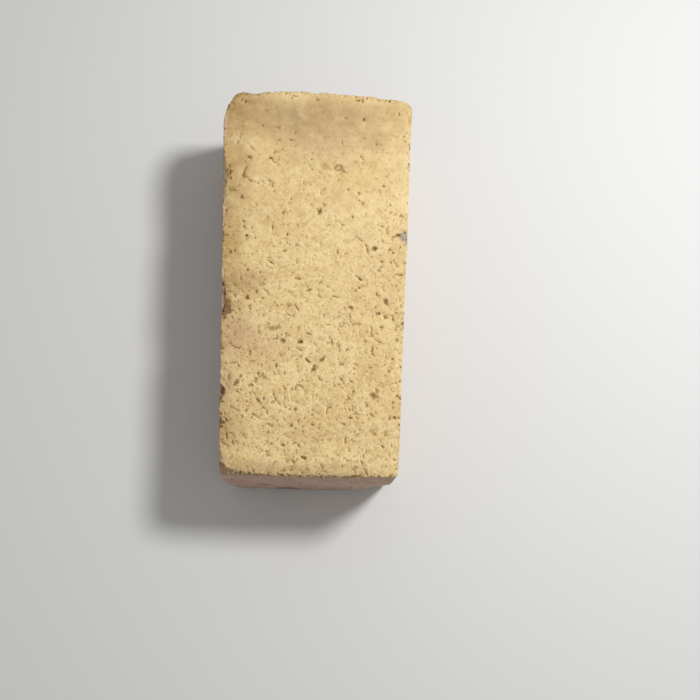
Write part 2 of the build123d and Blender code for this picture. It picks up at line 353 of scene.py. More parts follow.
def bow_end(block, bow, end):
    """Divide an end's level edges into columns, and set each column at its place."""
    half = half_width(end * LENGTH / 2)

    def on_end(corners):
        return all(abs(corner.y - end * LENGTH / 2) < NEAR for corner in corners)

    pick(block, "EDGE", lambda corners: on_end(corners) and abs(corners[0].z - corners[1].z) < NEAR)
    bpy.ops.mesh.subdivide(number_cuts=len(bow) - 2)
    even = [half * (2 * column / (len(bow) - 1) - 1) for column in range(len(bow))]
    columns = []
    shape = bmesh.from_edit_mesh(block.data)
    for vertex in shape.verts:
        if on_end([vertex.co]):
            nearest = min(range(len(bow)), key=lambda column: abs(even[column] - vertex.co.x))
            columns.append((vertex.index, nearest))
    for column, (place, setback) in enumerate(bow):
        bpy.ops.mesh.select_all(action="DESELECT")
        shape = bmesh.from_edit_mesh(block.data)
        shape.verts.ensure_lookup_table()
        for index, nearest in columns:
            if nearest == column:
                shape.verts[index].select_set(True)
        shape.select_flush_mode()
        bmesh.update_edit_mesh(block.data)
        across = max(-half, min(half, place * MM)) - even[column]
        bpy.ops.transform.translate(value=(across, -end * setback * MM, 0))


def pressed_block():
    """A cube drawn out to the brick's size, tapered, its ends bowed and its corners worn."""
    bpy.ops.object.select_all(action="DESELECT")
    bpy.ops.mesh.primitive_cube_add(
        size=1, location=(0, 0, THICKNESS / 2), scale=(NARROW_END, LENGTH, THICKNESS)
    )
    block = bpy.context.object
    block.name = "fired_clay"
    bpy.ops.object.transform_apply()
    bpy.ops.object.mode_set(mode="EDIT")
    pick(block, "FACE", lambda corners: all(corner.y > 0 for corner in corners))
    bpy.ops.transform.resize(
        value=(WIDE_END / NARROW_END, 1, 1), center_override=(0, LENGTH / 2, THICKNESS / 2)
    )
    bow_end(block, WIDE_END_BOW, 1)
    bow_end(block, NARROW_END_BOW, -1)
    for side, end, radius in UPRIGHT_CORNERS:
        reach = half_width(end * LENGTH / 2) - CORNER_SLACK
        pick(
            block,
            "EDGE",
            lambda corners: abs(corners[0].z - corners[1].z) > THICKNESS / 2
            and all(side * corner.x > reach and end * corner.y > 0 for corner in corners),
        )
        bpy.ops.mesh.bevel(offset=radius * MM, segments=CORNER_FLATS, affect="EDGES")
    for side, end, level, across, along, up in BROKEN_CORNERS:
        corner = Vector((side * half_width(end * LENGTH / 2), end * LENGTH / 2, THICKNESS * (level > 0)))
        corner.y = end_at(corner.x, end)
        outward = Vector((side / across, end / along, level / up)).normalized()
        bpy.ops.mesh.select_all(action="SELECT")
        on_break = corner - Vector((side * across * MM, 0, 0))
        bpy.ops.mesh.bisect(plane_co=on_break, plane_no=outward, use_fill=True, clear_outer=True)
    bpy.ops.mesh.select_all(action="SELECT")
    bpy.ops.mesh.normals_make_consistent(inside=False)
    bpy.ops.object.mode_set(mode="OBJECT")
    return block


def scoop(block, arris, outward, chip_length, depth):
    """Scoop one chip out of an arris with a ball as wide as the chip's length and depth ask."""
    radius = (chip_length**2 / 4 + depth**2) / (2 * depth) * MM
    bpy.ops.object.select_all(action="DESELECT")
    middle = arris + outward.normalized() * (radius - depth * MM)
    bpy.ops.mesh.primitive_ico_sphere_add(subdivisions=BALL_DIVISIONS, radius=radius, location=middle)
    ball = bpy.context.object
    bpy.ops.object.transform_apply()
    apply_modifier(block, "BOOLEAN", object=ball, operation="DIFFERENCE", solver="EXACT")
    bpy.data.objects.remove(ball)


def smooth_step(low, high, value):
    """0 below low, 1 above high, and a smooth rise between."""
    share = np.clip((value - low) / (high - low), 0, 1)
    return share * share * (3 - 2 * share)


def places_of(piece):
    """All the vertices' places, one row each."""
    places = np.empty(len(piece.data.vertices) * 3)
    piece.data.vertices.foreach_get("co", places)
    return places.reshape(-1, 3)


def put_places(piece, places):
    """Move every vertex to its place."""
    piece.data.vertices.foreach_set("co", places.ravel())
    piece.data.update()


def put_attribute(piece, name, values):
    """Keep one number for each vertex under a name that the material reads."""
    made = piece.data.attributes.new(name, "FLOAT", "POINT")
    made.data.foreach_set("value", values.astype(np.float32))


def put_group(piece, name, weights):
    """Keep a vertex group whose weights, in tenths, say where a modifier works."""
    group = piece.vertex_groups.new(name=name)
    tenths = np.rint(np.clip(weights, 0, 1) * 10).astype(int)
    for tenth in range(1, 11):
        group.add(np.nonzero(tenths == tenth)[0].tolist(), tenth / 10, "REPLACE")


def tree_of(places):
    """A search tree of places, numbered in their order."""
    tree = kdtree.KDTree(len(places))
    for number, place in enumerate(places):
        tree.insert(place, number)
    tree.balance()
    return tree


# How far past its level a pit's noise goes before the pit has its full depth
PIT_EDGE = 0.09

# Slits lie steep: how far they turn from the brick's length, and how the noise is drawn out for them
SLIT_TURN = math.radians(22)
SLIT_STRETCH = (0.6, 1.9, 1.0)

# The material draws its slits out by shrinking its places along them
SLIT_SHRINK = (1.0, 0.36, 1.0)


def displace(piece, name, spacing, height, middle=0.85, group="", pitted_over=0.0, slant=False):
    """Move the surface in and out by a noise of a given spacing and height in mm.

    With pitted_over, only the peaks of the noise over that level sink in, as pits. With slant, the
    noise is drawn out along one steep direction.
    """
    pattern = bpy.data.textures.new(name, "CLOUDS")
    pattern.noise_scale = spacing * MM
    pattern.noise_depth = 2
    settings = dict(texture=pattern, texture_coords="LOCAL", strength=height * MM, mid_level=middle)
    if pitted_over:
        pattern.use_color_ramp = True
        low, high = pattern.color_ramp.elements
        low.position = pitted_over
        low.color = (0, 0, 0, 1)
        high.position = pitted_over + PIT_EDGE
        high.color = (1, 1, 1, 1)
        settings["mid_level"] = 0
        settings["strength"] = -height * MM
    if group:
        settings["vertex_group"] = group
    guide = None
    if slant:
        bpy.ops.object.select_all(action="DESELECT")
        bpy.ops.object.empty_add(rotation=(0, 0, SLIT_TURN), scale=SLIT_STRETCH)
        guide = bpy.context.object
        settings["texture_coords"] = "OBJECT"
        settings["texture_coords_object"] = guide
        bpy.context.view_layer.update()
    apply_modifier(piece, "DISPLACE", **settings)
    if guide:
        bpy.data.objects.remove(guide)
    bpy.data.textures.remove(pattern)


# The walls' outline is read from the vertices of one layer, outside the block's middle
OUTLINE_LEVEL = 0.62 * THICKNESS
OUTLINE_LAYER = 0.55 * GRID
MIDDLE_ACROSS = 44 * MM
MIDDLE_ALONG = 110 * MM

# How near the walls a vertex is measured, and what stands for the distance of the others
NEAR_WALL = 14 * MM
FAR_AWAY = 1.0


def wall_distances(places):
    """For each vertex, how far it lies inside the block's walls, and the way inwards."""
    ring = places[np.abs(places[:, 2] - OUTLINE_LEVEL) < OUTLINE_LAYER]
    ring = ring[(np.abs(ring[:, 0]) > MIDDLE_ACROSS) | (np.abs(ring[:, 1]) > MIDDLE_ALONG)]
    tree = tree_of(ring * (1, 1, 0))
    away = np.full(len(places), FAR_AWAY)
    inwards = np.zeros((len(places), 2))
    within = half_width(places[:, 1]) - np.abs(places[:, 0])
    rough = np.minimum(within, LENGTH / 2 - np.abs(places[:, 1]))
    for index in np.nonzero(rough < NEAR_WALL)[0]:
        x, y = places[index, :2]
        nearest, _, distance = tree.find((x, y, 0))
        away[index] = distance
        if distance > NEAR:
            inwards[index] = ((x - nearest.x) / distance, (y - nearest.y) / distance)
    return away, inwards


def wander(place, spacing, offset=0.0):
    """A soft noise of a given spacing in mm, from about -1 to 1."""
    return noise.noise(Vector(place) / (spacing * MM) + Vector((offset, offset, offset)))


# Only what lies this near both faces of an arris can be worn
ARRIS_REACH = 6 * MM

# From here on the arrises belong to the ends, which wear more
WORN_END = 100 * MM

# Radius of an arris in mm: its mean, what the ends add, how much and over what spacing it wanders, its least
ARRIS_RADIUS = 0.8
END_RADIUS = 0.4
RADIUS_WANDER = 0.7
WANDER_SPACING = 22.0
LEAST_RADIUS = 0.4

# What crumbling adds to the radius in mm: spacing and offset of its noise, its size, what the ends add
CRUMBLING = [(6.0, 7.1, 1.0, 1.6), (1.9, 3.3, 0.6, 0.8)]


def wear_arrises(piece):
    """Round every arris of the two beds to a radius that wanders, as handling leaves it.

    Gives back how deep in mm each vertex lies under the block's nearest face, and under both.
    """
    places = places_of(piece)
    away, inwards = wall_distances(places)
    bed = np.minimum(places[:, 2], THICKNESS - places[:, 2])
    for index in np.nonzero((away < ARRIS_REACH) & (bed < ARRIS_REACH))[0]:
        place = places[index]
        at_end = abs(place[1]) > WORN_END
        crumble = 0.0
        for spacing, offset, size, end_size in CRUMBLING:
            crumble += abs(wander(place, spacing, offset)) * (size + end_size * at_end)
        radius = ARRIS_RADIUS + END_RADIUS * at_end + RADIUS_WANDER * wander(place, WANDER_SPACING) + crumble
        radius = max(LEAST_RADIUS, radius) * MM
        from_wall = radius - away[index]
        from_bed = radius - bed[index]
        out = math.hypot(from_wall, from_bed)
        if from_wall > 0 and from_bed > 0 and out > radius:
            pull = 1 - radius / out
            place[:2] += inwards[index] * from_wall * pull
            place[2] += from_bed * pull * (1 if place[2] < THICKNESS / 2 else -1)
    put_places(piece, places)
    away, inwards = wall_distances(places)
    bed = np.minimum(places[:, 2], THICKNESS - places[:, 2])
    return np.minimum(away, bed) / MM, np.hypot(away, bed) / MM


def bed_place(x, y):
    """A place read on the upper bed, as a point of the brick."""
    return Vector((READ_SCALE * x * MM, READ_SCALE * (y + READ_ALONG) * MM, THICKNESS))


# The six faces: the way inwards, then the two ways along it
FACES = {
    "upper bed": (Vector((0, 0, -1)), Vector((1, 0, 0)), Vector((0, 1, 0))),
    "lower bed": (Vector((0, 0, 1)), Vector((1, 0, 0)), Vector((0, 1, 0))),
    "left side": (Vector((1, 0, 0)), Vector((0, 1, 0)), Vector((0, 0, 1))),
    "right side": (Vector((-1, 0, 0)), Vector((0, 1, 0)), Vector((0, 0, 1))),
    "wide end": (Vector((0, -1, 0)), Vector((1, 0, 0)), Vector((0, 0, 1))),
    "narrow end": (Vector((0, 1, 0)), Vector((1, 0, 0)), Vector((0, 0, 1))),
}

# The upper bed is closer grained towards the wide end: the share of its pores that is lost there, and the
# stretch over which they get fewer, as shares of the length from the middle
PORES_LOST = 0.78
OPEN_UNTIL = -0.35
CLOSE_FROM = 0.47


def pore_density(y):
    """The share of the upper bed's pores that stay at a place along it."""
    return 1.0 - PORES_LOST * smooth_step(OPEN_UNTIL, CLOSE_FROM, y / LENGTH)


# A round pore is pressed as blobs a little beside each other: how many, how they turn in degrees, and as
# shares of the pore's width, how far they scatter, how long and wide they are, and how deep
BLOBS = 2
BLOB_TURN = (60, 150)
BLOB_SCATTER = 0.22
BLOB_LENGTH = (0.8, 1.1)
BLOB_WIDTH = (0.5, 0.8)
BLOB_DEPTH = 0.5

# Depth of a long pore from the list, and of a random one, as shares of its width
LONG_DEPTH = 0.6
RANDOM_DEPTH = (0.45, 0.9)

# How many random pores are tried on each face, 4.6 for each square centimetre, and the share that stays
PORES_TRIED = {"bed": 1126, "side": 694, "end": 314}
PORES_KEPT = {"side": 0.7, "end": 0.8}

# Sizes of the random pores in mm: the usual width and its spread, the widest, how much longer than wide
# they tend to be, and the longest
PORE_WIDTH = 0.6
PORE_SPREAD = 0.4
WIDEST_PORE = 1.6
PORE_STRETCH = 1.4
LONGEST_PORE = 4.5

# The two ways that random pores lie in degrees, each with its spread, and the share of the first
PORE_TURNS = [(100, 16), (152, 28)]
FIRST_TURN = 0.55

# Where the dice for pores and for cracks start
PORE_SEED = 11
CRACK_SEED = 23

# How strongly the random pores gather, over what spacing in mm and from what offset
GATHERING = 1.2
GATHERING_SPACING = 13.0
GATHERING_OFFSET = 2.0


def pore_list():
    """Every pore: face, middle, length, width and depth in mm, and turn in degrees."""
    dice = random.Random(PORE_SEED)
    pores = []
    for x, y, across in ROUND_PORES:
        place = bed_place(x, y)
        for _ in range(BLOBS):
            shift = Vector((dice.gauss(0, BLOB_SCATTER), dice.gauss(0, BLOB_SCATTER), 0)) * across * MM
            pores.append(("upper bed", place + shift, across * dice.uniform(*BLOB_LENGTH),
                          across * dice.uniform(*BLOB_WIDTH), across * BLOB_DEPTH,
                          dice.uniform(*BLOB_TURN)))
    for x, y, length, width, turn in LONG_PORES:
        place = bed_place(x, y)
        pores.append(("upper bed", place, length, width, width * LONG_DEPTH, turn))
    for face, (inwards, *_) in FACES.items():
        kind = face.split()[1]
        for _ in range(PORES_TRIED[kind]):
            along = dice.uniform(-0.5, 0.5) * LENGTH
            across = dice.uniform(-1, 1)
            level = dice.uniform(0, 1) * THICKNESS
            keep = dice.random()
            width = min(WIDEST_PORE, PORE_WIDTH * math.exp(dice.gauss(0, PORE_SPREAD)))
            length = min(LONGEST_PORE, width * (1.0 + abs(dice.gauss(0, PORE_STRETCH))))
            depth = width * dice.uniform(*RANDOM_DEPTH)
            turn = dice.gauss(*PORE_TURNS[0 if dice.random() < FIRST_TURN else 1])
            if kind == "bed":
                x = across * half_width(along)
                place = Vector((x, along, THICKNESS * (face == "upper bed")))
                share = pore_density(along) * (abs(along) < abs(end_at(x, math.copysign(1, along))) - MM)
            elif kind == "side":
                place = Vector((-inwards.x * half_width(along), along, level))
                share = PORES_KEPT[kind]
            else:
                x = across * half_width(-inwards.y * LENGTH / 2)
                place = Vector((x, end_at(x, -inwards.y), level))
                share = PORES_KEPT[kind]
            if keep < share * (1 + GATHERING * wander(place, GATHERING_SPACING, GATHERING_OFFSET)):
                pores.append((face, place, length, width, depth, turn))
    return pores


# Pressing a pore moves what lies this near its face, and looks around its middle for this share of its
# length, but at least this far
PRESSED_LAYER = 1.6 * MM
PORE_REACH = 0.75
LEAST_REACH = 1.2 * MM

# A pore's rim, and how far inside it the pore is at its deepest, as shares of half its width
PORE_RIM = 1.15
PORE_SLOPE = 0.7

# How the rim wanders: by what share, over what spacing in mm, and from what offset
RIM_WANDER = [(0.55, 0.9, 0.0), (0.3, 2.3, 5.0)]


def press_pores(piece, pores):
    """Press every pore into the clay, and give back how deep each vertex sinks in mm.

    A pore's edge wanders, so that no two look alike.
    """
    places = places_of(piece)
    tree = tree_of(places)
    depths = {face: {} for face in FACES}
    for face, middle, length, width, depth, turn in pores:
        inwards, first, second = FACES[face]
        angle = math.radians(turn)
        along = first * math.cos(angle) + second * math.sin(angle)
        across = second * math.cos(angle) - first * math.sin(angle)
        reach = max(LEAST_REACH, max(length, width) * PORE_REACH * MM + GRID)
        pressed = depths[face]
        for place, index, _ in tree.find_range(middle, reach):
            offset = place - middle
            if abs(offset.dot(inwards)) > PRESSED_LAYER:
                continue
            out = math.hypot(offset.dot(along) / length, offset.dot(across) / width) * 2 / MM
            out *= sum((by * wander(place, spacing, start) for by, spacing, start in RIM_WANDER), 1)
            share = min(1.0, max(0.0, (PORE_RIM - out) / PORE_SLOPE))
            sunk = depth * share * share * (3 - 2 * share)
            if sunk > pressed.get(index, 0):
                pressed[index] = sunk
    total = np.zeros(len(places))
    for face, pressed in depths.items():
        inwards = np.array(FACES[face][0])
        for index, sunk in pressed.items():
            places[index] += inwards * sunk * MM
            total[index] = max(total[index], sunk)
    put_places(piece, places)
    return total


# Short cracks tried on the upper bed besides the ones listed: how many, between which shares of its length
# and of half its width, how many steps each takes, how long a step is in mm, how wide they are in mm, which
# way they set out, and how they bend at a step, in degrees with its spread
SHORT_CRACKS = 110
CRACKED_ALONG = (-0.47, 0.45)
CRACKED_ACROSS = (-0.94, 0.94)
CRACK_STEPS = (1, 2, 2, 3)
CRACK_STEP = (1.2, 2.2)
CRACK_WIDTH = (0.36, 0.6)
CRACK_TURN = (150, 34)
CRACK_BEND = (0, 32)


def crack_list():
    """The cracks read off the upper bed, and short ones strewn where its pores are."""
    dice = random.Random(CRACK_SEED)
    cracks = list(CRACKS)
    for _ in range(SHORT_CRACKS):
        y = dice.uniform(*CRACKED_ALONG) * LENGTH / MM
        x = dice.uniform(*CRACKED_ACROSS) * half_width(y * MM) / MM
        points = [(x, y)]
        turn = dice.gauss(*CRACK_TURN)
        for _ in range(dice.choice(CRACK_STEPS)):
            run = dice.uniform(*CRACK_STEP)
            x += run * math.cos(math.radians(turn))
            y += run * math.sin(math.radians(turn))
            turn += dice.gauss(*CRACK_BEND)
            points.append((x, y))
        width = dice.uniform(*CRACK_WIDTH)
        if dice.random() < pore_density(y * MM):
            cracks.append((width, points))
    return cracks


# How deep a crack goes in mm, and the layer under the upper bed that it moves
CRACK_DEPTH = 0.8
CRACKED_LAYER = 2 * MM

# How far a crack strays aside in mm, and over what spacing
CRACK_STRAY = 0.35
STRAY_SPACING = 1.6

# How much of a crack's width stands open, by how much, over what spacing and from what offset that varies,
# and the least that it is open in mm
CRACK_OPEN = 0.76
OPEN_WANDER = (0.9, 1.7, 4.0)
LEAST_OPEN = 0.1

# A crack's rim, as a share of what stands open
CRACK_RIM = 1.2


def press_cracks(piece):
    """Open the cracks of the upper bed, and give back how deep each vertex sinks in mm."""
    places = places_of(piece)
    upper = np.nonzero(places[:, 2] > THICKNESS - CRACKED_LAYER)[0]
    tree = tree_of(places[upper])
    sunk = np.zeros(len(places))
    by, spacing, begin = OPEN_WANDER
    for width, points in crack_list():
        for start, end in zip(points, points[1:]):
            first = bed_place(*start)
            along = bed_place(*end) - first
            run = along.length
            along.normalize()
            for place, number, _ in tree.find_range(first + along * run / 2, run / 2 + MM):
                offset = place - first
                travelled = offset.dot(along)
                aside = (offset - along * travelled).xy.length / MM
                past_end = max(0, -travelled, travelled - run) / MM
                aside = abs(aside + CRACK_STRAY * wander(place, STRAY_SPACING)) + past_end
                opened = width * (CRACK_OPEN + by * wander(place, spacing, begin))
                share = min(1.0, max(0.0, CRACK_RIM - aside / max(LEAST_OPEN, opened)))
                depth = CRACK_DEPTH * share
                sunk[upper[number]] = max(sunk[upper[number]], depth)
    places[:, 2] -= sunk * MM
    put_places(piece, places)
    return sunk


# Rounds of smoothing that take the steps of the finest mesh away
SMOOTHING = 8

# The pressed skin is broken through between these depths in mm under the block's faces
BROKEN_DEPTH = (0.5, 1.4)

# The clay crumbles between these distances in mm from an arris, fully from CRUMBLY_END on and less before
CRUMBLY_REACH = (4.0, 1.6)
CRUMBLY_END = 104 * MM
MIDDLE_CRUMBLING = 0.5

# The grain of the upper bed sets in between these shares of the thickness
UPPER_GRAIN = (0.4, 0.8)

# How open the grain of the sides, ends and lower bed is, where 1 is the openest part of the upper bed
HIDDEN_GRAIN = 0.6

# How deep in mm a vertex sinks when it counts as the bottom of a pore
FULL_PORE = 0.7

# Where the mesh may be thinned: between these depths in mm a vertex is less and less plain, down to a least
PLAIN_DEPTH = (0.35, 0.05)
LEAST_PLAIN = 0.1


def work_clay(piece):
    """Give the remeshed block its wear, its unevenness, its cracks and its pores, and thin its mesh."""
    apply_modifier(piece, "SMOOTH", factor=0.5, iterations=round(SMOOTHING * (FINE_GRID / GRID) ** 2))
    below, from_arris = wear_arrises(piece)
    places = places_of(piece)
    put_group(piece, "broken", smooth_step(*BROKEN_DEPTH, below))
    worst = np.where(np.abs(places[:, 1]) > CRUMBLY_END, 1.0, MIDDLE_CRUMBLING)
    put_group(piece, "crumbly", smooth_step(*CRUMBLY_REACH, from_arris) * worst)
    upper = smooth_step(*UPPER_GRAIN, places[:, 2] / THICKNESS)
    open_share = upper * pore_density(places[:, 1]) + (1 - upper) * HIDDEN_GRAIN
    put_group(piece, "open_grained", open_share)
    put_attribute(piece, "open_grain", open_share)
    displace(piece, "unevenness", 42.0, 0.7)
    displace(piece, "lumps", 9.0, 0.35)
    displace(piece, "sandy_skin", 2.6, 0.26)
    displace(piece, "fracture", 3.4, 1.1, middle=0.6, group="broken")
    displace(piece, "crumbs", 2.2, 0.9, middle=0.62, group="crumbly")
    before = places_of(piece)
    displace(piece, "crumbled_pits", 1.7, 0.8, group="crumbly", pitted_over=0.58)
    displace(piece, "coarse_pits", 2.6, 0.6, group="open_grained", pitted_over=0.72)
    displace(piece, "slits", 1.4, 0.6, group="open_grained", pitted_over=0.69, slant=True)
    displace(piece, "fine_pits", 1.2, 0.4, group="open_grained", pitted_over=0.69)
    pitted = np.linalg.norm(places_of(piece) - before, axis=1) / MM
    sunk = np.maximum(press_cracks(piece), press_pores(piece, pore_list()))
    sunk = np.maximum(sunk, pitted)
    put_attribute(piece, "pore", np.clip(sunk / FULL_PORE, 0, 1))
    put_group(piece, "plain", np.maximum(LEAST_PLAIN, smooth_step(*PLAIN_DEPTH, sunk)))
    triangles = 2 * len(piece.data.polygons)
    apply_modifier(piece, "DECIMATE", ratio=TRIANGLES / triangles, use_collapse_triangulate=True,
                   vertex_group="plain", vertex_group_factor=PORE_CARE)
    piece.vertex_groups.clear()
    put_places(piece, np.clip(places_of(piece), cad_box[0], cad_box[1]))
    only(piece)
    bpy.ops.object.shade_smooth()


# A mark fades in from its rim to its middle, between these shares of its half width
MARK_FADE = (1.5, 0.1)


def cover(across, along, marks):
    """How far marks on a face cover each vertex, from where it lies on that face in mm."""
    covered = np.zeros(len(across))
    for x, y, half_across, half_along, strength in marks:
        out = np.hypot((across - x) / half_across, (along - y) / half_along)
        covered = 1 - (1 - covered) * (1 - strength * smooth_step(*MARK_FADE, out))
    return covered


# The skin of the sides, the ends and the lower bed is burnt: by how much, and how far below the upper bed it
# starts and is full
BURNT = 0.85
BURNT_FROM = 0.9 * MM
BURNT_FULLY = 3.0 * MM

# How that border wavers: by what share, over what spacing in mm, from what offset, and its least
BORDER_WAVER = [(0.8, 8.0, 6.0), (0.8, 2.5, 1.0)]
LEAST_WAVER = 0.35

# The levels between which the marks of the upper bed fade in, and the same behind the narrow end
TOP_FADE = (THICKNESS - 6 * MM, THICKNESS - 2 * MM)
END_FADE = (8 * MM - LENGTH / 2, 3 * MM - LENGTH / 2)


def mark_faces(piece):
    """Lay out the marks of the upper bed and the narrow end, each kind as its own attribute."""
    places = places_of(piece)
    near_top = smooth_step(*TOP_FADE, places[:, 2])
    near_end = smooth_step(*END_FADE, places[:, 1])
    across, along, up = (places / MM).T
    for kind, marks in MARKS.items():
        covered = cover(across / READ_SCALE, along / READ_SCALE - READ_ALONG, marks) * near_top
        on_end = cover(across, up, END_MARKS.get(kind, [])) * near_end
        put_attribute(piece, kind, np.maximum(covered, on_end))
    waver = np.array([
        sum((by * wander(place, spacing, start) for by, spacing, start in BORDER_WAVER), 1)
        for place in places
    ])
    below = (THICKNESS - places[:, 2]) * np.maximum(waver, LEAST_WAVER)
    put_attribute(piece, "burnt", BURNT * smooth_step(BURNT_FROM, BURNT_FULLY, below))


def linear(hex_colour):
    """An sRGB hex colour as linear red, green, blue and alpha."""
    parts = [int(hex_colour[start:start + 2], 16) / 255 for start in (0, 2, 4)]
    return [part / 12.92 if part <= 0.04045 else ((part + 0.055) / 1.055) ** 2.4 for part in parts] + [1]


def add_node(tree, kind, settings=None, inputs=None):
    """Add a node, set its properties, and give its inputs a value or a link."""
    node = tree.nodes.new(kind)
    for name, value in (settings or {}).items():
        setattr(node, name, value)
    for key, value in (inputs or {}).items():
        if isinstance(value, bpy.types.NodeSocket):
            tree.links.new(value, node.inputs[key])
        else:
            node.inputs[key].default_value = value
    return node


# The colour that each kind of mark gives the clay: the soft ones, then the ragged ones with their strength.
# Of the soft ones, the left margin and the smear by the narrow end are partly painted shade, the pale
# patches are partly painted light, and the rim along the left arris is painted light
SOFT_MARKS = {
    "margin": "A68658", "ochre": "BA9558", "smear": "AC9069", "blush": "C09C80",
    "pale": "F8E2B2", "fresh": "EBD0BC",
}
RAGGED_MARKS = {
    "brown": (0.85, "8F6E3E"), "core": (0.8, "E0C79C"), "scorch": (0.95, "643F2E"),
    "steel_grey": (0.85, "8C8A88"), "soot": (0.8, "575046"),
}

# The noises of the clay: spacing in mm, detail and roughness
NOISES = {
    "burning": (26, 3, 0.5), "bleaching": (12, 4, 0.6), "browning": (6, 4, 0.6), "mottling": (3.1, 2, 0.5),
    "skin_burning": (17, 3, 0.5), "skin_bleaching": (5, 3, 0.5), "clouded": (8, 4, 0.6),
    "frayed": (2.4, 5, 0.7), "speckled": (1.1, 3, 0.6), "grit": (1.6, 3, 0.6), "sand": (0.55, 3, 0.6),
    "pinholes": (0.95, 2, 0.5), "slits": (0.75, 2, 0.5),
}

# Grog: the spacing of its grains in mm, which leaves them about 1.5 mm wide
GRAIN_SPACING = 1.7

# How each pattern is read, rising smoothly: the values where it starts and is full, and what that gives
READINGS = {
    "burning": (0.35, 0.68, 0.0, 1.0),
    "bleaching": (0.5, 0.72, 0.0, 1.0),
    "browning": (0.42, 0.78, 0.0, 1.0),
    "mottling": (0.5, 0.7, 0.0, 0.55),
    "skin_burning": (0.38, 0.66, 0.0, 1.0),
    "skin_bleaching": (0.5, 0.75, 0.0, 1.0),
    "in_grain": (0.62, 0.42, 0.0, 1.0),
    "pale_grain": (0.80, 0.84, 0.0, 1.0),
    "brown_grain": (0.955, 0.965, 0.0, 1.0),
    "sandy": (0.46, 0.74, 0.0, 0.75),
    "pinholes": (0.64, 0.74, 0.0, 1.0),
    "slits": (0.66, 0.75, 0.0, 1.0),
    "open_grain": (0.0, 0.7, 0.0, 1.0),
}

# The same, rising evenly
EVEN_READINGS = {
    "clouded": (0.32, 0.68, 0.6, 1.3),
    "frayed": (0.0, 1.0, -0.65, 0.65),
    "speckled": (0.36, 0.6, 0.78, 1.0),
    "dust_and_shade": (0.0, 1.0, -0.25, 0.25),
    "roughness": (0.3, 0.7, 0.84, 0.97),
}


